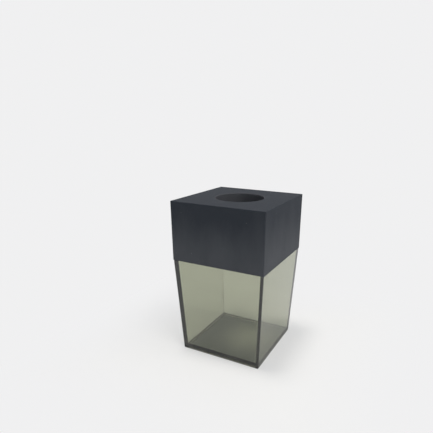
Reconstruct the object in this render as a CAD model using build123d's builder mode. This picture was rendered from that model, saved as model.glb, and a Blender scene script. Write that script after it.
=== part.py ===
"""Magnetic paper clip holder: a smoked square tumbler under a black cap that holds a ring magnet.

Millimetres, +Z up. The origin is the centre of the base, at the table, and the front looks along -Y.
The tumbler's thinned neck stands up inside the cap's thinned rim, so the two walls meet nearly flush.
"""

import os
from math import atan, degrees, radians, tan

from build123d import *

# Overall sizes
HEIGHT = 104.0  # table to the cap's top face
CAP_HEIGHT = 38.0  # cap's rim to its top face
BASE_WIDTH = 57.0  # tumbler across its flats, at the table
SHOULDER_WIDTH = 62.8  # tumbler across its flats, under the cap's rim

# Tumbler
TUMBLER_WALL = 2.4  # at the floor
FLOOR_THICKNESS = 2.8
TUMBLER_CORNER = 0.3  # upright outer edges
CAVITY_CORNER = 0.4  # upright inner edges
FLOOR_ROUND = 0.3  # where the floor meets the inner walls
FOOT_WIDTH = 2.6  # flat rim that stands on the table
FOOT_RECESS = 0.4  # underside inside that rim, lifted off the table
FOOT_ROUND = 0.2  # outer edge at the table
GATE_DIAMETER = 2.4  # moulding gate's stub, under the floor
GATE_LENGTH = 0.2

# Neck of the tumbler, inside the cap's rim
NECK_HEIGHT = 8.0
NECK_WALL = 1.1  # at its top
NECK_CLEARANCE = 0.2
NECK_TOP_GAP = 0.6  # neck's top to the step inside the cap
NECK_BEVEL = 0.2  # neck's top edges
GRIP_RIBS_PER_SIDE = 2
GRIP_RIB_PITCH = 30.0
GRIP_RIB_WIDTH = 1.6
GRIP_RIB_HEIGHT = 5.0
GRIP_RIB_GAP = 0.05  # what the ribs leave of the neck's clearance

# Cap
CAP_OVERHANG = 0.3  # rim beyond the tumbler's shoulder, on each side
CAP_RIM_WALL = 1.15  # thinned wall outside the neck
CAP_WALL = 2.2
CAP_TOP_THICKNESS = 2.2
CAP_DRAFT = 0.15  # degrees, outer faces
CAP_CORE_DRAFT = 0.5  # degrees, inner faces
CAP_CORNER = 0.5  # upright outer edges
CAP_INNER_CORNER = 0.8  # upright inner edges
CAP_TOP_ROUND = 0.4  # edges of the top face
CAP_RIM_BEVEL = 0.2  # outer edge of the rim

# Throat that the clips come up, through the cap's top
THROAT_DIAMETER = 31.0
THROAT_MOUTH_ROUND = 0.7
THROAT_LEAD_IN = 0.8  # bevel at its lower end
COLLAR_WALL = 1.6

# Ring magnet round the collar, under the cap's top
MAGNET_THICKNESS = 8.0
MAGNET_BAND = 7.6  # from the ring's bore to its outside
MAGNET_CLEARANCE = 0.3  # round the collar
MAGNET_BEVEL = 0.6

# Retainer plate under the magnet, and the cap's four posts, staked over below it
RETAINER_THICKNESS = 1.8
RETAINER_GAP = 0.3  # to the cap's walls and to the collar
RETAINER_CORNER = 3.0
POST_DIAMETER = 4.0
POST_GAP = 0.15  # in the plate's holes
POST_INSET = 4.8  # post's centre to the cap's walls
STAKE_DIAMETER = 7.0  # at the plate
STAKE_END_DIAMETER = 4.6
STAKE_HEIGHT = 1.5

# Heights
shoulder_z = HEIGHT - CAP_HEIGHT
neck_top_z = shoulder_z + NECK_HEIGHT
floor_z = FOOT_RECESS + FLOOR_THICKNESS
rebate_top_z = neck_top_z + NECK_TOP_GAP
ceiling_z = HEIGHT - CAP_TOP_THICKNESS
magnet_low_z = ceiling_z - MAGNET_THICKNESS
retainer_low_z = magnet_low_z - RETAINER_THICKNESS
stake_low_z = retainer_low_z - STAKE_HEIGHT

# Widths across the flats
rim_width = SHOULDER_WIDTH + 2 * CAP_OVERHANG
rebate_width = rim_width - 2 * CAP_RIM_WALL
neck_width = rebate_width - 2 * NECK_CLEARANCE
wall_slope = (SHOULDER_WIDTH - BASE_WIDTH) / 2 / shoulder_z
wall_draft = degrees(atan(wall_slope))
cavity_floor_width = BASE_WIDTH + 2 * wall_slope * floor_z - 2 * TUMBLER_WALL
cavity_mouth_width = neck_width - 2 * NECK_WALL
cavity_draft = degrees(atan((cavity_mouth_width - cavity_floor_width) / 2 / (neck_top_z - floor_z)))
recess_width = BASE_WIDTH - 2 * FOOT_WIDTH
core_rim_width = rim_width - 2 * CAP_WALL
core_top_width = core_rim_width - 2 * (ceiling_z - shoulder_z) * tan(radians(CAP_CORE_DRAFT))
retainer_width = core_top_width - 2 * RETAINER_GAP
post_pitch = core_top_width - 2 * POST_INSET

# Radii of the throat and of what goes round it
throat_radius = THROAT_DIAMETER / 2
collar_radius = throat_radius + COLLAR_WALL
magnet_inner_radius = collar_radius + MAGNET_CLEARANCE
magnet_outer_radius = magnet_inner_radius + MAGNET_BAND


def drafted_block(low, high, low_width, angle, corner):
    """Return a square block between two heights that narrows upwards by a draft angle.

    A negative angle makes it widen upwards. Its upright edges are rounded by corner.
    """
    with BuildPart() as block:
        with BuildSketch(Plane.XY.offset(low)):
            Rectangle(low_width, low_width)
        extrude(amount=high - low)
        if angle:
            draft(block.faces().filter_by(Axis.Z, reverse=True), Plane.XY.offset(low), angle)
        fillet(block.edges().filter_by(Plane.XY, reverse=True), corner)
    return block.part


# Tumbler: tapered walls and a straight neck, hollowed by one core that draws out upwards
tumbler_walls = drafted_block(0, shoulder_z, BASE_WIDTH, -wall_draft, TUMBLER_CORNER)
tumbler_neck = drafted_block(shoulder_z, neck_top_z, neck_width, 0, TUMBLER_CORNER)
tumbler_core = drafted_block(floor_z, neck_top_z, cavity_floor_width, -cavity_draft, CAVITY_CORNER)
tumbler_core = fillet(tumbler_core.faces().sort_by(Axis.Z)[0].edges(), FLOOR_ROUND)
with BuildPart() as tumbler:
    add(tumbler_walls)
    fillet(tumbler.faces().sort_by(Axis.Z)[0].edges(), FOOT_ROUND)
    add(tumbler_neck)
    with BuildSketch(Plane.XY.offset(shoulder_z)):
        with PolarLocations(neck_width / 2, 4):
            with GridLocations(0, GRIP_RIB_PITCH, 1, GRIP_RIBS_PER_SIDE):
                Rectangle(2 * (NECK_CLEARANCE - GRIP_RIB_GAP), GRIP_RIB_WIDTH)
    extrude(amount=GRIP_RIB_HEIGHT)
    add(tumbler_core, mode=Mode.SUBTRACT)
    chamfer(tumbler.faces().sort_by(Axis.Z)[-1].edges(), NECK_BEVEL)
    with BuildSketch():
        RectangleRounded(recess_width, recess_width, CAVITY_CORNER)
    extrude(amount=FOOT_RECESS, mode=Mode.SUBTRACT)
    with BuildSketch(Plane.XY.offset(FOOT_RECESS)):
        Circle(GATE_DIAMETER / 2)
    extrude(amount=-GATE_LENGTH)

# One of the cap's posts, with its end staked over into a cone below the retainer
with BuildPart() as staked_post:
    with BuildSketch(Plane.XZ):
        with BuildLine():
            Polyline(
                (0, stake_low_z),
                (STAKE_END_DIAMETER / 2, stake_low_z),
                (STAKE_DIAMETER / 2, retainer_low_z),
                (POST_DIAMETER / 2, retainer_low_z),
                (POST_DIAMETER / 2, ceiling_z),
                (0, ceiling_z),
                close=True,
            )
        make_face()
    revolve(axis=Axis.Z)

# Cap: drafted shell with a rebate inside its rim, the throat's collar and the staked posts
cap_walls = drafted_block(shoulder_z, HEIGHT, rim_width, CAP_DRAFT, CAP_CORNER)
cap_core = drafted_block(shoulder_z, ceiling_z, core_rim_width, CAP_CORE_DRAFT, CAP_INNER_CORNER)
rim_rebate = drafted_block(shoulder_z, rebate_top_z, rebate_width, 0, TUMBLER_CORNER + NECK_CLEARANCE)
with BuildPart() as cap_shell:
    add(cap_walls)
    fillet(cap_shell.faces().sort_by(Axis.Z)[-1].edges(), CAP_TOP_ROUND)
    chamfer(cap_shell.faces().sort_by(Axis.Z)[0].edges(), CAP_RIM_BEVEL)
    add([cap_core, rim_rebate], mode=Mode.SUBTRACT)
    with BuildSketch(Plane.XY.offset(retainer_low_z)):
        Circle(collar_radius)
    extrude(amount=ceiling_z - retainer_low_z)
    with BuildSketch(Plane.XZ):
        with BuildLine():
            Polyline(
                (0, HEIGHT),
                (0, retainer_low_z),
                (throat_radius + THROAT_LEAD_IN, retainer_low_z),
                (throat_radius, retainer_low_z + THROAT_LEAD_IN),
                (throat_radius, HEIGHT - THROAT_MOUTH_ROUND),
            )
            mouth_centre = (throat_radius + THROAT_MOUTH_ROUND, HEIGHT - THROAT_MOUTH_ROUND)
            CenterArc(mouth_centre, THROAT_MOUTH_ROUND, 90, 90)
            Line((throat_radius + THROAT_MOUTH_ROUND, HEIGHT), (0, HEIGHT))
        make_face()
    revolve(axis=Axis.Z, mode=Mode.SUBTRACT)
    with GridLocations(post_pitch, post_pitch, 2, 2):
        add(staked_post.part)

# Ring magnet: a plain pressed ring with bevelled edges
with BuildPart() as ring_magnet:
    with BuildSketch(Plane.XY.offset(magnet_low_z)):
        Circle(magnet_outer_radius)
        Circle(magnet_inner_radius, mode=Mode.SUBTRACT)
    extrude(amount=MAGNET_THICKNESS)
    chamfer(ring_magnet.edges().filter_by(GeomType.CIRCLE), MAGNET_BEVEL)

# Retainer: a square plate with a hole for the collar and one for each post
with BuildPart() as magnet_retainer:
    with BuildSketch(Plane.XY.offset(retainer_low_z)):
        RectangleRounded(retainer_width, retainer_width, RETAINER_CORNER)
        Circle(collar_radius + RETAINER_GAP, mode=Mode.SUBTRACT)
        with GridLocations(post_pitch, post_pitch, 2, 2):
            Circle(POST_DIAMETER / 2 + POST_GAP, mode=Mode.SUBTRACT)
    extrude(amount=RETAINER_THICKNESS)

os.makedirs("parts", exist_ok=True)
tumbler.part.label = "tumbler"
cap_shell.part.label = "cap_shell"
ring_magnet.part.label = "ring_magnet"
magnet_retainer.part.label = "magnet_retainer"
export_step(tumbler.part, "parts/tumbler.step")
export_step(cap_shell.part, "parts/cap_shell.step")
export_step(ring_magnet.part, "parts/ring_magnet.step")
export_step(magnet_retainer.part, "parts/magnet_retainer.step")
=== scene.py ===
"""Looks of a magnetic paper clip holder: a smoked clear tumbler under a black cap with a ring magnet.

The sub-assemblies' sizes are written in millimetres: a half runs from the axis to a flat, and heights
start at the table. The finishes' and the studio's sizes are in metres. Meshes are made in metres, in the
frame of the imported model: +Z up, the base's centre at the origin and the front along -Y.
"""

import logging
import math
from dataclasses import dataclass, field
from enum import Enum
from typing import Any, Sequence

import bpy
import numpy as np
from mathutils import Matrix, Vector


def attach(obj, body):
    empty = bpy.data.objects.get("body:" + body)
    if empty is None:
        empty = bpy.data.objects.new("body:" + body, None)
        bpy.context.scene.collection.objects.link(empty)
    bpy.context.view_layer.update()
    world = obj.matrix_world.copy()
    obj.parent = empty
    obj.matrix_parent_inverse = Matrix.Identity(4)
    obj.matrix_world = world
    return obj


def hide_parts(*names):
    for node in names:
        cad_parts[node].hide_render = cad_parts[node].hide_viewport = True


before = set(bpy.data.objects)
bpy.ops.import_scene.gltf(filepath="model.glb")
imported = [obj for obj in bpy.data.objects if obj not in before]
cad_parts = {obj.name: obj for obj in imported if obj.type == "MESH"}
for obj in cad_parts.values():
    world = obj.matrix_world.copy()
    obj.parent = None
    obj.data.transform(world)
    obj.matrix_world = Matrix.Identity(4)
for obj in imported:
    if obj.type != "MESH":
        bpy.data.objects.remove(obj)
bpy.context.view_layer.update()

LOG = logging.getLogger("clip_holder")
MM = 0.001
NEAR = 1e-6  # what rounding may leave between two equal numbers
MIX_FIRST = 6  # a Mix node's colour sockets share their names with its others, so they go by number
MIX_SECOND = 7
MIX_RESULT = 2

Colour = tuple[float, float, float]
Place = tuple[float, float, float]
Row = Sequence[float]  # half-width, corner radius and height


# Outlines and the grids that they sweep


class Plan(Enum):
    """What a row of a grid follows round the upright axis."""

    SQUARE = 0
    ROUND = 1


@dataclass
class Columns:
    """The columns of a grid, counter-clockwise from above: four sides, each a flat and a corner arc.

    A row with half-width h and corner radius c has its points at (h - c) * anchor + c * normal.
    On a flat the normal is the side's own, and the anchor runs along the side. On a corner the anchor
    stays at the corner and the normal turns. A round row has its points at h * turned, evenly round.
    """

    flat_stops: Sequence[float]
    arc_steps: int
    anchor: np.ndarray = field(init=False)
    normal: np.ndarray = field(init=False)
    turned: np.ndarray = field(init=False)

    def __post_init__(self) -> None:
        """Work out both plans' anchors and normals for one side, and turn them to all four."""
        stops = np.asarray(self.flat_stops, float)
        flats = len(stops) - 1
        per_side = flats + self.arc_steps
        bend = np.arange(1, self.arc_steps) / self.arc_steps * (math.pi / 2)
        anchor = np.concatenate([np.stack([np.ones_like(stops), stops], 1), np.ones((len(bend), 2))])
        normal = np.concatenate(
            [np.tile([1.0, 0.0], (len(stops), 1)), np.stack([np.cos(bend), np.sin(bend)], 1)]
        )
        turn = (np.arange(per_side) - flats / 2) / per_side * (math.pi / 2)
        turned = np.stack([np.cos(turn), np.sin(turn)], 1)
        quarter = np.array([[0.0, 1.0], [-1.0, 0.0]])
        turns = [np.linalg.matrix_power(quarter, side) for side in range(4)]
        self.anchor = np.concatenate([anchor @ t for t in turns])
        self.normal = np.concatenate([normal @ t for t in turns])
        self.turned = np.concatenate([turned @ t for t in turns])

    @staticmethod
    def even(flat_steps: int, arc_steps: int) -> "Columns":
        """Return columns with evenly spaced stops along each flat."""
        return Columns(np.linspace(-1.0, 1.0, flat_steps + 1), arc_steps)

    @property
    def count(self) -> int:
        """Return how many columns there are."""
        return len(self.normal)


@dataclass
class Strip:
    """A run of rows along an outline: half-width, corner radius, height and their rates of change."""

    rows: np.ndarray
    rates: np.ndarray
    plans: list[Plan]

    @staticmethod
    def straight(start: Row, stop: Row, plans: tuple[Plan, Plan], steps: int = 1) -> "Strip":
        """Make a straight run.

        Args:
            start: The row where the run begins.
            stop: The row where it ends.
            plans: The plan of its first row and of its last.
            steps: How many bands of faces it has.

        Returns:
            The run, with one rate of change all along it.
        """
        share = np.linspace(0.0, 1.0, steps + 1)[:, None]
        low, high = np.asarray(start, float), np.asarray(stop, float)
        rows = low + share * (high - low)
        return Strip(rows, np.tile(high - low, (steps + 1, 1)), [plans[0]] * steps + [plans[1]])

    @staticmethod
    def chain(stops: Sequence[tuple[Row, Plan]]) -> list["Strip"]:
        """Return the straight runs from stop to stop, where a stop is a row and its plan."""
        return [Strip.straight(a[0], b[0], (a[1], b[1])) for a, b in zip(stops, stops[1:])]

    @staticmethod
    def arc(centre: tuple[float, float], radius: float, angles: tuple[float, float], corner: float,
            plan: Plan, steps: int = 6) -> "Strip":
        """Make a round: centre + radius * (cos, sin) of an angle, in half-width and height.

        Args:
            centre: Half-width and height of the arc's centre.
            radius: The arc's radius.
            angles: First and last angle, in degrees.
            corner: Corner radius of the widest row; a round plan ignores it.
            plan: The plan of all its rows.
            steps: How many bands of faces it has.

        Returns:
            The run. Its corner radius shrinks with its half-width, so its rows are parallel.
        """
        turn = np.radians(np.linspace(angles[0], angles[1], steps + 1))
        way = math.copysign(1.0, angles[1] - angles[0])
        half = centre[0] + radius * np.cos(turn)
        height = centre[1] + radius * np.sin(turn)
        corners = half if plan is Plan.ROUND else corner - (half.max() - half)
        out, up = -way * np.sin(turn), way * np.cos(turn)
        return Strip(np.stack([half, corners, height], 1), np.stack([out, out, up], 1), [plan] * len(turn))

    @staticmethod
    def edge(half: float, low: float, slope: float, radius: float, corner: float,
             plan: Plan = Plan.SQUARE, steps: int = 6, down: bool = False) -> "Strip":
        """Make the round between a level face and a wall that leans out above it.

        The arc touches both, so its centre lies a radius above the face, at the half-width
        half + slope * radius - radius * sqrt(1 + slope squared).

        Args:
            half: Half-width where the face and the wall would meet.
            low: Height of the face.
            slope: How far the wall leans out for each millimetre up.
            radius: The round's radius.
            corner: Corner radius of its widest row.
            plan: The plan of all its rows.
            steps: How many bands of faces it has.
            down: True to run from the wall to the face, False for the other way.

        Returns:
            The run.
        """
        centre = (half + slope * radius - radius * math.hypot(1.0, slope), low + radius)
        lean = math.degrees(math.atan(slope))
        angles = (-lean, -90.0) if down else (-90.0, -lean)
        return Strip.arc(centre, radius, angles, corner, plan, steps)


def round_row(radius: float, height: float) -> Row:
    """Return the row of a circle, which is a square whose corner radius is its half-width."""
    return (radius, radius, height)


class GridMesh:
    """A closed surface of strips, swept round the upright axis, with the outline's own normals."""

    def __init__(self, columns: Columns, centre: tuple[float, float] = (0.0, 0.0)) -> None:
        """Start with no faces.

        Args:
            columns: The columns that every row has.
            centre: Where the axis stands, in millimetres.
        """
        self.columns = columns
        self.centre = np.array([*centre, 0.0])
        self.points: list[np.ndarray] = []
        self.faces: list[np.ndarray] = []
        self.normals: list[np.ndarray] = []
        self.total = 0

    def _place(self, row: np.ndarray, plan: Plan, swell: np.ndarray | None) -> np.ndarray:
        """Work out a row's points: (h - c) * anchor + (c + swell) * normal, at the row's height.

        Args:
            row: Half-width, corner radius and height.
            plan: What the row follows; a round row is h * turned.
            swell: How far each column of a square row stands out, if any does.

        Returns:
            One point for each column.
        """
        half, corner, height = row
        cols = self.columns
        if plan is Plan.ROUND:
            flat = half * cols.turned
        else:
            reach = corner if swell is None else corner + swell[:, None]
            flat = (half - corner) * cols.anchor + reach * cols.normal
        return np.column_stack([flat, np.full(cols.count, height)]) + self.centre

    def _normal(self, rate: np.ndarray, plan: Plan) -> np.ndarray:
        """Work out a row's unit normals, across the outline's rate and the columns' direction.

        In words: the sideways part is the column's normal times the climb, and the upright part is
        minus the outward rate, (h' - c') * (anchor . normal) + c'.

        Args:
            rate: The row's rates of change h', c' and climb.
            plan: What the row follows; a round row's outward rate is h'.

        Returns:
            One normal for each column.
        """
        out, bend, climb = rate
        cols = self.columns
        if abs(climb) < NEAR:
            return np.tile([0.0, 0.0, -math.copysign(1.0, out)], (cols.count, 1))
        if plan is Plan.ROUND:
            side, grow = cols.turned, np.full(cols.count, out)
        else:
            side = cols.normal
            grow = (out - bend) * (cols.anchor * cols.normal).sum(1) + bend
        raw = np.column_stack([side * climb, -grow])
        return raw / np.linalg.norm(raw, axis=1, keepdims=True)

    def _ring(self, points: np.ndarray) -> np.ndarray:
        """Keep a ring of points.

        Args:
            points: The ring's points in order.

        Returns:
            Their numbers in the mesh.
        """
        self.points.append(points)
        numbers = np.arange(self.total, self.total + len(points))
        self.total += len(points)
        return numbers

    def _band(self, low: np.ndarray, high: np.ndarray, low_n: np.ndarray, high_n: np.ndarray) -> None:
        """Join two rings by quads that face outwards, each corner with its own normal.

        Args:
            low: Numbers of the first ring's points.
            high: Numbers of the second ring's points.
            low_n: Normals at the first ring.
            high_n: Normals at the second ring.
        """
        self.faces.append(np.stack([low, np.roll(low, -1), np.roll(high, -1), high], 1))
        self.normals.append(
            np.stack([low_n, np.roll(low_n, -1, 0), np.roll(high_n, -1, 0), high_n], 1)
        )

    def _fan(self, ring: np.ndarray, height: float, upward: bool) -> None:
        """Close a ring with triangles to one point on the axis.

        Args:
            ring: Numbers of the ring's points.
            height: Where the point stands.
            upward: True for faces that look up, False for faces that look down.
        """
        pole = self._ring(self.centre[None] + [0.0, 0.0, height])
        turn = np.stack([ring, np.roll(ring, -1), np.full(len(ring), pole[0])], 1)
        self.faces.append(turn if upward else turn[:, ::-1])
        self.normals.append(np.tile([0.0, 0.0, 1.0 if upward else -1.0], (len(ring), 3, 1)))

    def sweep(self, strips: Sequence[Strip], poles: bool,
              swell: dict[int, np.ndarray] | None = None) -> None:
        """Add a closed surface.

        Args:
            strips: The outline's runs in order, each starting on the row where the last one ended.
            poles: True to close both ends with fans on the axis, False to join the end to the start.
            swell: For rows by number along the whole outline, how far each column stands out. The
                faces at such a row are flat.
        """
        swell = swell or {}
        first = ring = self._ring(self._place(strips[0].rows[0], strips[0].plans[0], swell.get(0)))
        row_number = 0
        for strip in strips:
            closing = strip is strips[-1] and not poles
            last = len(strip.rows) - 2
            for step in range(last + 1):
                row_number += 1
                here = swell.get(row_number)
                if closing and step == last:
                    following = first
                else:
                    following = self._ring(self._place(strip.rows[step + 1], strip.plans[step + 1], here))
                low_n = self._normal(strip.rates[step], strip.plans[step])
                high_n = self._normal(strip.rates[step + 1], strip.plans[step + 1])
                if here is not None or swell.get(row_number - 1) is not None:
                    low_n, high_n = np.zeros_like(low_n), np.zeros_like(high_n)
                self._band(ring, following, low_n, high_n)
                ring = following
        if poles:
            self._fan(first, strips[0].rows[0, 2], upward=False)
            self._fan(ring, strips[-1].rows[-1, 2], upward=True)

    def build(self, name: str) -> bpy.types.Object:
        """Make the object.

        Args:
            name: The piece's name.

        Returns:
            The object, at the origin, smooth where its outline is smooth. A corner whose normal is
            nought takes its face's own.
        """
        points = np.concatenate(self.points) * MM
        faces = [face for block in self.faces for face in block.tolist()]
        corners = np.concatenate([block.reshape(-1, 3) for block in self.normals])
        mesh = bpy.data.meshes.new(name)
        mesh.from_pydata(points.tolist(), [], faces)
        mesh.polygons.foreach_set("use_smooth", np.ones(len(mesh.polygons), bool))
        flat = np.zeros(len(mesh.polygons) * 3)
        mesh.polygons.foreach_get("normal", flat)
        sizes = np.concatenate([np.full(len(block), block.shape[1]) for block in self.faces])
        own = np.repeat(flat.reshape(-1, 3), sizes, axis=0)
        blank = np.linalg.norm(corners, axis=1) < NEAR
        corners[blank] = own[blank]
        mesh.normals_split_custom_set(corners.tolist())
        mesh.update()
        piece = bpy.data.objects.new(name, mesh)
        bpy.context.scene.collection.objects.link(piece)
        return piece


# Shader maths


class Value:
    """A socket that takes part in arithmetic: each operator adds one Math node."""

    def __init__(self, shader: "Shader", socket: bpy.types.NodeSocket) -> None:
        """Wrap a socket of a shader."""
        self.shader = shader
        self.socket = socket

    def beside(self, outlet: str) -> "Value":
        """Return another output of the same node."""
        return Value(self.shader, self.socket.node.outputs[outlet])

    def _math(self, operation: str, left: "Value | float", right: "Value | float") -> "Value":
        """Return the result of a Math node on two sockets or numbers."""
        return self.shader.node("ShaderNodeMath", {"operation": operation}, {0: left, 1: right})

    def __add__(self, other: "Value | float") -> "Value":
        """Return self + other."""
        return self._math("ADD", self, other)

    def __radd__(self, other: float) -> "Value":
        """Return other + self."""
        return self._math("ADD", other, self)

    def __sub__(self, other: "Value | float") -> "Value":
        """Return self - other."""
        return self._math("SUBTRACT", self, other)

    def __rsub__(self, other: float) -> "Value":
        """Return other - self."""
        return self._math("SUBTRACT", other, self)

    def __mul__(self, other: "Value | float") -> "Value":
        """Return self * other."""
        return self._math("MULTIPLY", self, other)

    def __rmul__(self, other: float) -> "Value":
        """Return other * self."""
        return self._math("MULTIPLY", other, self)

    def __abs__(self) -> "Value":
        """Return the size of self, without its sign."""
        return self._math("ABSOLUTE", self, 0.0)

    def at_least(self, other: "Value") -> "Value":
        """Return the larger of self and other."""
        return self._math("MAXIMUM", self, other)


@dataclass(frozen=True)
class Noise:
    """A noise pattern: its lumps to the metre, its finer layers and how strong they are."""

    per_metre: float
    detail: float
    rough: float


class Shader:
    """A material's node tree, cleared and ready for its own nodes."""

    def __init__(self, name: str) -> None:
        """Make a material with an output node alone.

        Args:
            name: The material's name.
        """
        self.material = bpy.data.materials.new(name)
        self.material.use_nodes = True
        self.tree = self.material.node_tree
        self.tree.nodes.clear()
        self.output = self.tree.nodes.new("ShaderNodeOutputMaterial")

    def node(self, kind: str, settings: dict[str, Any], inputs: dict[str | int, Any],
             outlet: str | int = 0) -> Value:
        """Add any node.

        Args:
            kind: The node's type.
            settings: Its own settings, set first; "stops" are a ramp's places and colours.
            inputs: Values or links for its sockets, by name or number.
            outlet: Which of its outputs to return.

        Returns:
            The chosen output, ready for arithmetic.
        """
        made = self.tree.nodes.new(kind)
        for key, value in settings.items():
            if key == "stops":
                for stop, (place, colour) in zip(made.color_ramp.elements, value, strict=True):
                    stop.position, stop.color = place, (*colour, 1.0)
            else:
                setattr(made, key, value)
        for key, value in inputs.items():
            socket = made.inputs[key]
            if isinstance(value, Value):
                self.tree.links.new(value.socket, socket)
            elif socket.type == "RGBA":
                socket.default_value = (*value, 1.0)
            else:
                socket.default_value = value
        return Value(self, made.outputs[outlet])

    def place(self, scale: Place = (1.0, 1.0, 1.0)) -> Value:
        """Return the piece's own coordinates in metres, stretched by a scale."""
        own = self.node("ShaderNodeTexCoord", {}, {}, "Object")
        return self.node("ShaderNodeMapping", {}, {"Vector": own, "Scale": scale})

    def axis(self, where: Value, name: str) -> Value:
        """Return one coordinate of a place, by its capital letter."""
        return self.node("ShaderNodeSeparateXYZ", {}, {"Vector": where}, name)

    def distance(self, where: Value, mark: Place = (0.0, 0.0, 0.0)) -> Value:
        """Return how far a place is from a mark."""
        return self.node("ShaderNodeVectorMath", {"operation": "DISTANCE"}, {0: where, 1: mark}, "Value")

    def noise(self, where: Value, kind: Noise) -> Value:
        """Return a noise from 0 to 1."""
        inputs = {"Vector": where, "Scale": kind.per_metre, "Detail": kind.detail, "Roughness": kind.rough}
        return self.node("ShaderNodeTexNoise", {}, inputs)

    def span(self, value: Value, start: float, stop: float) -> Value:
        """Return 0 up to start and 1 from stop on, smoothly between; start may be the larger."""
        inputs = {"Value": value, "From Min": start, "From Max": stop}
        return self.node("ShaderNodeMapRange", {"interpolation_type": "SMOOTHSTEP"}, inputs)

    def mix(self, share: Value, first: Value | Colour, second: Value | Colour) -> Value:
        """Return a colour that goes from the first to the second as the share goes from 0 to 1."""
        inputs = {"Factor": share, MIX_FIRST: first, MIX_SECOND: second}
        return self.node("ShaderNodeMix", {"data_type": "RGBA"}, inputs, MIX_RESULT)

    def ramp(self, value: Value, first: tuple[float, Colour], last: tuple[float, Colour]) -> Value:
        """Return a colour read off a ramp between two stops, each a place and its colour."""
        return self.node("ShaderNodeValToRGB", {"stops": (first, last)}, {"Fac": value})

    def bump(self, height: Value, metres: float) -> Value:
        """Return a normal tilted by a height that spans so many metres."""
        return self.node("ShaderNodeBump", {}, {"Height": height, "Distance": metres, "Strength": 1.0})

    def finish(self, surface: Value, volume: Value | None = None) -> bpy.types.Material:
        """Join the output.

        Args:
            surface: The shader of the surface.
            volume: The shader of the body under it, if it has one.

        Returns:
            The finished material.
        """
        self.tree.links.new(surface.socket, self.output.inputs["Surface"])
        if volume is not None:
            self.tree.links.new(volume.socket, self.output.inputs["Volume"])
        return self.material


# Finishes


@dataclass(frozen=True)
class SmokedClear:
    """Smoked clear plastic: it bends light, and darkens it with each millimetre on the way."""

    base: Colour = (1.0, 1.0, 1.0)
    ior: float = 1.58
    clear: float = 0.98
    tint: Colour = (0.317, 0.347, 0.12)
    density: float = 258.0
    polish: float = 0.01
    haze: float = 0.03
    cloud: Noise = Noise(55.0, 4.0, 0.6)

    def material(self) -> bpy.types.Material:
        """Make the material: a polished surface with faint handling haze, over an absorbing body.

        Returns:
            The material of the tumbler.
        """
        shader = Shader("smoked_clear")
        surface = shader.node("ShaderNodeBsdfPrincipled", {}, {
            "Base Color": self.base,
            "Roughness": self.polish + self.haze * shader.noise(shader.place(), self.cloud),
            "IOR": self.ior,
            "Transmission Weight": self.clear,
        })
        body = shader.node("ShaderNodeVolumeAbsorption", {}, {"Color": self.tint, "Density": self.density})
        return shader.finish(surface, body)


@dataclass(frozen=True)
class MouldedBlack:
    """Black moulded plastic with a fine spark-eroded grain, made paler towards the rim and inside the
    throat by painted light.
    """

    name: str = "black_cap"
    dark: Colour = (0.0320, 0.0370, 0.0465)
    pale: Colour = (0.0690, 0.0735, 0.0840)
    dark_at: float = 0.30
    pale_at: float = 0.75
    roughness: float = 0.60
    roughness_span: float = 0.10
    specular: float = 0.08
    flow: Noise = Noise(60.0, 5.0, 0.62)
    flow_stretch: Place = (1.0, 1.0, 0.35)
    flow_gloss: float = 0.6
    grain: Noise = Noise(2600.0, 3.0, 0.65)
    grain_gloss: float = 0.4
    grain_depth: float = 0.000012
    # Painted light: the share of a paleness that grows from the top down to the rim, between these
    # heights.
    painted_rim_light: float = 0.45
    rim_light_from: float = 0.104
    rim_light_to: float = 0.066
    # Painted light: a paler colour within the throat, mottled by the flow marks.
    painted_throat_light: Colour = (0.0660, 0.0690, 0.0790)
    throat_light_least: float = 0.5
    throat_light_from: float = 0.0166
    throat_light_to: float = 0.0156
    dust: Colour = (0.1800, 0.1800, 0.1870)
    dust_share: float = 0.6
    specks_per_metre: float = 170.0
    speck_from: float = 0.060
    speck_to: float = 0.030

    def material(self) -> bpy.types.Material:
        """Make the material.

        The colour follows cloudy flow marks, and grows paler down to the rim, which is painted light.
        Within the throat it is paler too, painted light where little light reaches. The grain is in the
        bump and the gloss, and a few specks of dust lie on top.

        Returns:
            The material, named for its slot.
        """
        shader = Shader(self.name)
        where = shader.place()
        flow = shader.noise(shader.place(self.flow_stretch), self.flow)
        grain = shader.noise(where, self.grain)
        # Painted light: a mask that is paler from the top down to the rim.
        grip = shader.span(shader.axis(where, "Z"), self.rim_light_from, self.rim_light_to)
        tone = shader.ramp((1.0 - self.painted_rim_light) * flow + self.painted_rim_light * grip,
                           (self.dark_at, self.dark), (self.pale_at, self.pale))
        # Painted light: paler within the throat's radius.
        reach = shader.distance(shader.place((1.0, 1.0, 0.0)))
        throat_light = shader.span(reach, self.throat_light_from, self.throat_light_to) * (self.throat_light_least + flow)
        cells = {"Vector": where, "Scale": self.specks_per_metre}
        specks = shader.node("ShaderNodeTexVoronoi", {}, cells, "Distance")
        dusty = shader.span(specks, self.speck_from, self.speck_to) * self.dust_share
        gloss = flow * self.flow_gloss + grain * self.grain_gloss
        surface = shader.node("ShaderNodeBsdfPrincipled", {}, {
            "Base Color": shader.mix(dusty, shader.mix(throat_light, tone, self.painted_throat_light), self.dust),
            "Roughness": self.roughness + self.roughness_span * gloss,
            "Specular IOR Level": self.specular,
            "Normal": shader.bump(grain, self.grain_depth),
        })
        return shader.finish(surface)


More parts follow.
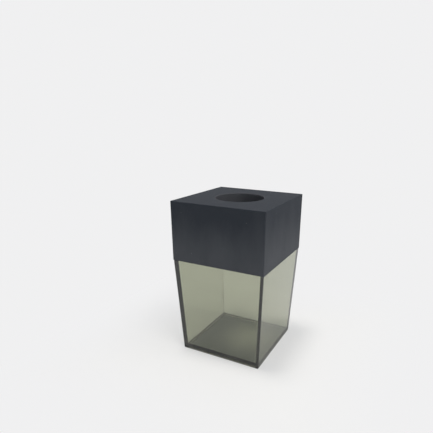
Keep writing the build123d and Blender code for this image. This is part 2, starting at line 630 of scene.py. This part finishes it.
@dataclass(frozen=True)
class SinteredFerrite:
    """Sintered ferrite: charcoal grey, with pressed grain and broad mottling."""

    dark: Colour = (0.022, 0.021, 0.021)
    pale: Colour = (0.060, 0.058, 0.056)
    dark_at: float = 0.35
    pale_at: float = 0.65
    roughness: float = 0.58
    roughness_span: float = 0.2
    grain: Noise = Noise(3200.0, 2.0, 0.7)
    grain_share: float = 0.45
    grain_depth: float = 0.00002
    mottle: Noise = Noise(140.0, 4.0, 0.55)
    mottle_share: float = 0.55

    def material(self) -> bpy.types.Material:
        """Make the material: fine grain over broad mottling.

        Returns:
            The material of the ring.
        """
        shader = Shader("ferrite")
        where = shader.place()
        grain = shader.noise(where, self.grain)
        mixed = grain * self.grain_share + shader.noise(where, self.mottle) * self.mottle_share
        surface = shader.node("ShaderNodeBsdfPrincipled", {}, {
            "Base Color": shader.ramp(mixed, (self.dark_at, self.dark), (self.pale_at, self.pale)),
            "Roughness": self.roughness + self.roughness_span * grain,
            "Normal": shader.bump(grain, self.grain_depth),
        })
        return shader.finish(surface)


@dataclass(frozen=True)
class PaleBackdrop:
    """Matt pale paint for the floor and the wall, seen evenly bright away from the object.

    Places are in metres from the middle of the foot.
    """

    colour: Colour = (0.90, 0.90, 0.89)
    roughness: float = 0.75
    roughness_span: float = 0.1
    specular: float = 0.1
    cloud: Noise = Noise(6.0, 3.0, 0.5)
    glow: Colour = (0.872, 0.872, 0.878)
    far: float = 0.12
    beside_share: float = 0.45
    foot_edge: float = 0.0285
    edge_blur: float = 0.001
    # Under the foot, camera and glass see this share of a painted shadow in place of the lit paint.
    under_shade_share: float = 0.60
    shade: Colour = (0.05, 0.065, 0.085)
    # A painted patch of light in that shadow, below the throat, and where it centres and fades.
    painted_light_pool: Colour = (0.28, 0.29, 0.28)
    light_pool_at: Place = (0.008, 0.003, 0.0)
    light_pool_from: float = 0.028
    light_pool_to: float = 0.004
    # A painted shadow, darkest, on the ring where the foot's rim rests.
    painted_contact_shadow: Colour = (0.010, 0.012, 0.014)
    contact_shadow_from: float = 0.0248
    contact_shadow_to: float = 0.0256

    def material(self) -> bpy.types.Material:
        """Make the material.

        To the camera and through glass, a mix of lit paint and pale glow round the object turns into the
        glow alone far from it. Under the foot that glow is a painted shadow, with a painted patch of light
        below the throat, and a painted shadow darkest where the foot's rim rests on it. Gloss mirrors the
        lit paint round the object, and the glow far from it. All other light meets the paint alone.

        Returns:
            The material of the whole stage.
        """
        shader = Shader("pale_backdrop")
        where = shader.place()
        paint = shader.node("ShaderNodeBsdfPrincipled", {}, {
            "Base Color": self.colour,
            "Roughness": self.roughness + self.roughness_span * shader.noise(where, self.cloud),
            "Specular IOR Level": self.specular,
        })
        camera = shader.node("ShaderNodeLightPath", {}, {}, "Is Camera Ray")
        glass = camera.beside("Is Transmission Ray")
        mirror = camera.beside("Is Glossy Ray") * (1.0 - glass)
        across = shader.axis(where, "X")
        reach = abs(across).at_least(abs(across.beside("Y")))
        under = shader.span(reach, self.foot_edge, self.foot_edge - self.edge_blur)
        apart = shader.span(reach, self.foot_edge, self.far)
        # Mask of the painted shadow under the foot's rim.
        rim = shader.span(reach, self.contact_shadow_from, self.contact_shadow_to) * under
        share = (self.beside_share + (1.0 - self.beside_share) * apart
                 + (self.under_shade_share - self.beside_share) * under + (1.0 - self.under_shade_share) * rim)
        # Painted patch of light below the throat, inside the painted shadow under the foot.
        light_pool_mask = shader.span(shader.distance(where, self.light_pool_at), self.light_pool_from, self.light_pool_to)
        painted_under_foot = shader.mix(rim, shader.mix(light_pool_mask, self.shade, self.painted_light_pool), self.painted_contact_shadow)
        # Even glow away from the foot, painted shadow and painted light under it.
        tone = shader.mix(under, self.glow, painted_under_foot)
        glow = shader.node("ShaderNodeEmission", {}, {"Color": tone, "Strength": 1.0})
        factor = (camera + glass) * share + mirror * apart
        return shader.finish(shader.node("ShaderNodeMixShader", {}, {0: factor, 1: paint, 2: glow}))


# Sub-assemblies


@dataclass
class Tumbler:
    """The smoked tumbler: tapered walls on a foot rim, and a thinned neck with grip ribs."""

    height: float = 66.0
    base_half: float = 28.5
    shoulder_half: float = 31.4
    wall: float = 2.4
    corner: float = 0.3
    cavity_floor: float = 3.2
    cavity_corner: float = 0.4
    floor_round: float = 0.3
    foot_half: float = 25.9
    foot_recess: float = 0.4
    foot_round: float = 0.2
    gate_radius: float = 1.2
    gate_length: float = 0.2
    neck_half: float = 30.35
    neck_wall: float = 1.1
    neck_top: float = 74.0
    neck_bevel: float = 0.2
    rib_half_pitch: float = 15.0
    rib_half_width: float = 0.8
    rib_height: float = 5.0
    rib_reach: float = 0.15
    rib_flank: float = 0.1
    flat_steps: int = 14
    stop_gap: float = 0.02
    arc_steps: int = 8
    wall_steps: int = 4
    finish: SmokedClear = SmokedClear()

    @property
    def slope(self) -> float:
        """Return how far the outer walls lean out for each millimetre up."""
        return (self.shoulder_half - self.base_half) / self.height

    @property
    def cavity_floor_half(self) -> float:
        """Return the cavity's half-width at its floor."""
        return self.base_half + self.slope * self.cavity_floor - self.wall

    @property
    def cavity_mouth_half(self) -> float:
        """Return the cavity's half-width at the neck's top."""
        return self.neck_half - self.neck_wall

    @property
    def neck_flat_half(self) -> float:
        """Return half the length of the neck's flats."""
        return self.neck_half - self.corner

    def columns(self) -> Columns:
        """Place the columns evenly, with further ones at both flanks of each rib.

        Returns:
            The tumbler's columns.
        """
        flank = np.array([-self.rib_half_width, self.rib_flank - self.rib_half_width])
        rib = np.concatenate([flank, -flank[::-1]])
        ribs = np.concatenate([rib - self.rib_half_pitch, rib + self.rib_half_pitch]) / self.neck_flat_half
        fill = np.linspace(-1.0, 1.0, self.flat_steps + 1)
        fill = fill[np.abs(fill[:, None] - ribs[None]).min(1) > self.stop_gap]
        return Columns(np.sort(np.concatenate([fill, ribs])), self.arc_steps)

    def rib_swell(self, columns: Columns) -> np.ndarray:
        """Work out how far the ribs stand out: their full reach inside the flanks, else nothing.

        Args:
            columns: The tumbler's columns.

        Returns:
            The swell of each column over the ribs' height.
        """
        along = np.abs(columns.anchor - columns.normal).sum(1) * self.neck_flat_half
        on_flat = np.abs(columns.normal).max(1) > 1.0 - NEAR
        inner = np.abs(along - self.rib_half_pitch) < self.rib_half_width - self.rib_flank + NEAR
        return np.where(on_flat & inner, self.rib_reach, 0.0)

    def below_neck(self) -> list[Strip]:
        """Draw the outline from the gate under the floor, up the outside and in to the neck's foot.

        Returns:
            The outline's first runs.
        """
        square, circle = Plan.SQUARE, Plan.ROUND
        foot = Strip.edge(self.base_half, 0.0, self.slope, self.foot_round, self.corner)
        underside = Strip.chain([
            (round_row(self.gate_radius, self.foot_recess - self.gate_length), circle),
            (round_row(self.gate_radius, self.foot_recess), circle),
            ((self.foot_half, self.cavity_corner, self.foot_recess), square),
            ((self.foot_half, self.cavity_corner, 0.0), square),
            (foot.rows[0], square),
        ])
        shoulder = (self.shoulder_half, self.corner, self.height)
        neck_foot = (self.neck_half, self.corner, self.height)
        wall = Strip.straight(foot.rows[-1], shoulder, (square, square), self.wall_steps)
        return [*underside, foot, wall, Strip.straight(shoulder, neck_foot, (square, square))]

    def from_neck(self) -> list[Strip]:
        """Draw the outline from the neck's foot, over its lip and down into the cavity.

        Returns:
            The outline's last runs.
        """
        half, corner, bevel = self.cavity_mouth_half, self.cavity_corner, self.neck_bevel
        slope = (half - self.cavity_floor_half) / (self.neck_top - self.cavity_floor)
        bowl = Strip.edge(self.cavity_floor_half, self.cavity_floor, slope, self.floor_round, corner,
                          down=True)
        rib_top = self.height + self.rib_height
        neck_heights = (self.height, rib_top - self.rib_flank, rib_top, self.neck_top - bevel)
        rows = [(self.neck_half, self.corner, height) for height in neck_heights] + [
            (self.neck_half - bevel, self.corner - bevel, self.neck_top),
            (half + bevel, corner + bevel, self.neck_top),
            (half - slope * bevel, corner, self.neck_top - bevel),
            bowl.rows[0],
        ]
        return [*Strip.chain([(row, Plan.SQUARE) for row in rows]), bowl]

    def build(self) -> bpy.types.Object:
        """Sweep the whole outline round the axis, with the ribs standing out of the neck.

        Returns:
            The tumbler, one closed shell.
        """
        columns = self.columns()
        below = self.below_neck()
        neck_row = sum(len(strip.rows) - 1 for strip in below)
        ribs = self.rib_swell(columns)
        mesh = GridMesh(columns)
        mesh.sweep(below + self.from_neck(), poles=True, swell={neck_row: ribs, neck_row + 1: ribs})
        return mesh.build("smoked_tumbler")

    def dress(self, piece: bpy.types.Object) -> None:
        """Give the tumbler its finish and its place in the model.

        Args:
            piece: The tumbler.
        """
        piece.data.materials.append(self.finish.material())
        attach(piece, "tumbler")
        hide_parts("tumbler")


@dataclass
class Cap:
    """The black cap: a drafted shell with a rebated rim, the throat's collar and four staked posts."""

    rim: float = 66.0
    top: float = 104.0
    rim_half: float = 31.699  # just inside the solid's own box
    top_half: float = 31.6
    corner: float = 0.5
    top_round: float = 0.4
    rim_bevel: float = 0.2
    throat: float = 15.5
    mouth_round: float = 0.7
    lead_in: float = 0.8
    collar: float = 17.1
    collar_low: float = 92.0
    ceiling: float = 101.8
    core_rim_half: float = 29.5
    core_draft: float = 0.5  # degrees
    core_corner: float = 0.8
    step: float = 74.6
    rebate_half: float = 30.55
    rebate_corner: float = 0.5
    post_inset: float = 4.8
    post_radius: float = 2.0
    post_root: float = 0.5
    stake_radius: float = 3.5
    stake_end_radius: float = 2.3
    stake_low: float = 90.5
    stake_round: float = 0.3
    flat_steps: int = 20
    arc_steps: int = 10
    wall_steps: int = 3
    edge_steps: int = 4
    post_flat_steps: int = 6
    post_arc_steps: int = 3
    finish: MouldedBlack = MouldedBlack()

    def core_half(self, height: float) -> float:
        """Return the inner walls' half-width at a height."""
        return self.core_rim_half - (height - self.rim) * math.tan(math.radians(self.core_draft))

    def outline(self) -> list[Strip]:
        """Draw the closed outline, up the outside, down the throat, and down the inside to the rim.

        Returns:
            The shell's runs.
        """
        square, circle = Plan.SQUARE, Plan.ROUND
        edge = Strip.edge(self.rim_half, self.rim, 0.0, self.rim_bevel, self.corner, steps=self.edge_steps)
        brow_centre = (self.top_half - self.top_round, self.top - self.top_round)
        brow = Strip.arc(brow_centre, self.top_round, (0.0, 90.0), self.corner, square)
        mouth_centre = (self.throat + self.mouth_round, self.top - self.mouth_round)
        mouth = Strip.arc(mouth_centre, self.mouth_round, (90.0, 180.0), 0.0, circle)
        outside = [
            edge,
            Strip.straight(edge.rows[-1], brow.rows[0], (square, square), self.wall_steps),
            brow,
            Strip.straight(brow.rows[-1], mouth.rows[0], (square, circle)),
            mouth,
        ]
        inside = Strip.chain([
            (mouth.rows[-1], circle),
            (round_row(self.throat, self.collar_low + self.lead_in), circle),
            (round_row(self.throat + self.lead_in, self.collar_low), circle),
            (round_row(self.collar, self.collar_low), circle),
            (round_row(self.collar, self.ceiling), circle),
            ((self.core_half(self.ceiling), self.core_corner, self.ceiling), square),
            ((self.core_half(self.step), self.core_corner, self.step), square),
            ((self.rebate_half, self.rebate_corner, self.step), square),
            ((self.rebate_half, self.rebate_corner, self.rim), square),
            (edge.rows[0], square),
        ])
        return outside + inside

    def post_outline(self) -> list[Strip]:
        """Draw a post's outline, from its staked end up into the ceiling.

        Returns:
            The post's runs.
        """
        flare = (self.stake_radius - self.stake_end_radius) / (self.collar_low - self.stake_low)
        nose = Strip.edge(self.stake_end_radius, self.stake_low, flare, self.stake_round, 0.0,
                          Plan.ROUND, self.edge_steps)
        rows = [
            nose.rows[-1],
            round_row(self.stake_radius, self.collar_low),
            round_row(self.post_radius, self.collar_low),
            round_row(self.post_radius, self.ceiling + self.post_root),
        ]
        return [nose, *Strip.chain([(row, Plan.ROUND) for row in rows])]

    def build(self) -> bpy.types.Object:
        """Sweep the shell's closed outline round the axis.

        Returns:
            The shell, without its posts.
        """
        mesh = GridMesh(Columns.even(self.flat_steps, self.arc_steps))
        mesh.sweep(self.outline(), poles=False)
        return mesh.build("black_cap")

    def build_posts(self) -> list[bpy.types.Object]:
        """Sweep a post's outline round its own axis, at each corner of the ceiling.

        Returns:
            The four staked posts.
        """
        offset = self.core_half(self.ceiling) - self.post_inset
        posts = []
        for number, (x, y) in enumerate(((1, 1), (-1, 1), (-1, -1), (1, -1)), start=1):
            columns = Columns.even(self.post_flat_steps, self.post_arc_steps)
            mesh = GridMesh(columns, (x * offset, y * offset))
            mesh.sweep(self.post_outline(), poles=True)
            posts.append(mesh.build(f"staked_post_{number}"))
        return posts

    def dress(self, pieces: Sequence[bpy.types.Object]) -> None:
        """Give the cap and its posts their finish and their place in the model.

        Args:
            pieces: The shell and the posts.
        """
        black = self.finish.material()
        for piece in pieces:
            piece.data.materials.append(black)
            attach(piece, "cap")
            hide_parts("cap_shell")


@dataclass
class MagnetSeat:
    """The ring magnet round the throat's collar, and the plate that holds it up."""

    low: float = 93.8
    high: float = 101.8
    inner: float = 17.4
    outer: float = 25.0
    bevel: float = 0.6
    flat_steps: int = 20
    arc_steps: int = 10
    ferrite: SinteredFerrite = SinteredFerrite()
    plate: MouldedBlack = MouldedBlack(
        name="black_inner", roughness=0.55, grain=Noise(1800.0, 3.0, 0.65), painted_rim_light=0.0
    )

    def build(self) -> bpy.types.Object:
        """Carry a bevelled rectangle round the axis.

        Returns:
            The ring magnet.
        """
        rows = [
            (self.outer - self.bevel, self.low),
            (self.outer, self.low + self.bevel),
            (self.outer, self.high - self.bevel),
            (self.outer - self.bevel, self.high),
            (self.inner + self.bevel, self.high),
            (self.inner, self.high - self.bevel),
            (self.inner, self.low + self.bevel),
            (self.inner + self.bevel, self.low),
        ]
        mesh = GridMesh(Columns.even(self.flat_steps, self.arc_steps))
        mesh.sweep(Strip.chain([(round_row(*row), Plan.ROUND) for row in rows + rows[:1]]), poles=False)
        return mesh.build("ring_magnet_dressed")

    def dress(self, ring: bpy.types.Object) -> None:
        """Finish the ring and the plate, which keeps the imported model's own shape.

        Args:
            ring: The ring magnet.
        """
        ring.data.materials.append(self.ferrite.material())
        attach(ring, "cap")
        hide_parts("ring_magnet")
        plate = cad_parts["magnet_retainer"]
        plate.data.materials.clear()
        plate.data.materials.append(self.plate.material())


# Studio


@dataclass(frozen=True)
class Lamp:
    """A soft square lamp that looks at the object's foot."""

    name: str
    place: Place
    size: float
    watts: float
    colour: Colour = (1.0, 0.965, 0.915)

    def hang(self) -> None:
        """Add the lamp to the scene, hidden from the camera."""
        data = bpy.data.lights.new(self.name, "AREA")
        data.shape = "SQUARE"
        data.size = self.size
        data.energy = self.watts
        data.color = self.colour
        holder = bpy.data.objects.new(self.name, data)
        holder.location = self.place
        holder.rotation_euler = (-Vector(self.place)).to_track_quat("-Z", "Y").to_euler()
        holder.visible_camera = False
        bpy.context.scene.collection.objects.link(holder)


@dataclass
class Studio:
    """A pale floor under an even sky, one soft lamp overhead and one at the right, and the camera."""

    floor_inner: float = 0.05
    floor_radius: float = 1.2
    floor_drop: float = 0.0001
    cove_radius: float = 0.6
    wall_height: float = 1.4
    floor_rings: int = 16
    bend_steps: int = 32
    turn_steps: int = 192
    paint: PaleBackdrop = PaleBackdrop()
    sky: Colour = (0.86, 0.98, 1.12)
    sky_strength: float = 0.24
    lamps: tuple[Lamp, ...] = (
        Lamp("overhead_lamp", (-0.08, -0.04, 0.9), 0.16, 3.4),
        Lamp("side_lamp", (0.9, -0.2, 0.8), 1.0, 9.0),
    )
    azimuth: float = 26.52
    elevation: float = 21.64
    roll: float = 0.56
    distance: float = 0.2613
    target: Place = (0.0, 0.0, 0.052)
    lens: float = 31.43
    sensor: float = 36.0
    shift: tuple[float, float] = (-0.0523, 0.1296)
    clip_start: float = 0.01

    def cove(self) -> bpy.types.Object:
        """Make the floor, which turns up into a wall all round.

        Its outline runs out along the floor, up a quarter circle and up the wall. Each of its points is
        carried round the upright axis: radius times cosine and sine of the turn, at the point's height.

        Returns:
            The floor and the wall as one piece of the stage.
        """
        turn = np.linspace(0.0, 2 * math.pi, self.turn_steps, endpoint=False)
        bend = np.linspace(-math.pi / 2, 0.0, self.bend_steps + 1)[1:]
        flat = np.geomspace(self.floor_inner, self.floor_radius, self.floor_rings)
        wall_radius = self.floor_radius + self.cove_radius
        reach = np.concatenate([flat, self.floor_radius + self.cove_radius * np.cos(bend), [wall_radius]])
        rise = self.cove_radius * (1.0 + np.sin(bend))
        height = np.concatenate([np.zeros_like(flat), rise, [self.wall_height]]) - self.floor_drop
        x, y = np.outer(reach, np.cos(turn)), np.outer(reach, np.sin(turn))
        points = np.stack([x, y, np.tile(height[:, None], len(turn))], 2).reshape(-1, 3)
        ring = np.arange(x.size).reshape(x.shape)
        after = np.roll(ring, -1, 1)
        quads = np.stack([ring[:-1], ring[1:], after[1:], after[:-1]], 2).reshape(-1, 4)
        mesh = bpy.data.meshes.new("cove")
        mesh.from_pydata(points.tolist(), [], [ring[0].tolist(), *quads.tolist()])
        mesh.polygons.foreach_set("use_smooth", np.ones(len(mesh.polygons), bool))
        mesh.materials.append(self.paint.material())
        cove = bpy.data.objects.new("cove", mesh)
        bpy.context.scene.collection.objects.link(cove)
        return cove

    def light(self) -> None:
        """Set an even sky and hang the lamps."""
        world = bpy.data.worlds.new("soft_sky")
        world.use_nodes = True
        sky = world.node_tree.nodes["Background"]
        sky.inputs["Color"].default_value = (*self.sky, 1.0)
        sky.inputs["Strength"].default_value = self.sky_strength
        bpy.context.scene.world = world
        for lamp in self.lamps:
            lamp.hang()

    def camera(self) -> None:
        """Set the camera on a sphere about its target, turned about its own axis by the roll."""
        around, up_angle, roll = (math.radians(a) for a in (self.azimuth, self.elevation, self.roll))
        level = math.cos(up_angle)
        back = Vector((math.sin(around) * level, -math.cos(around) * level, math.sin(up_angle)))
        right = Vector((math.cos(around), math.sin(around), 0.0))
        above = back.cross(right)
        x_axis = math.cos(roll) * right + math.sin(roll) * above
        y_axis = math.cos(roll) * above - math.sin(roll) * right
        turn = Matrix((x_axis, y_axis, back)).transposed().to_4x4()
        data = bpy.data.cameras.new("photo_camera")
        data.lens = self.lens
        data.sensor_width = self.sensor
        data.shift_x, data.shift_y = self.shift
        data.clip_start = self.clip_start
        camera = bpy.data.objects.new("photo_camera", data)
        camera.matrix_world = Matrix.Translation(Vector(self.target) + back * self.distance) @ turn
        bpy.context.scene.collection.objects.link(camera)
        bpy.context.scene.camera = camera
        bpy.context.scene.view_settings.view_transform = "Standard"


def report(piece: bpy.types.Object) -> None:
    """Log a piece's name and how many faces it has."""
    LOG.info("%s: %d faces", piece.name, len(piece.data.polygons))


def main() -> None:
    """Build and dress the sub-assemblies in order, then the studio."""
    logging.basicConfig(level=logging.INFO, format="%(name)s: %(message)s")
    tumbler = Tumbler()
    shell = tumbler.build()
    tumbler.dress(shell)
    report(shell)

    cap = Cap()
    cover = [cap.build(), *cap.build_posts()]
    cap.dress(cover)
    for piece in cover:
        report(piece)

    seat = MagnetSeat()
    ring = seat.build()
    seat.dress(ring)
    report(ring)
    report(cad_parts["magnet_retainer"])

    studio = Studio()
    report(studio.cove())
    studio.light()
    studio.camera()


if __name__ == "__main__":
    main()
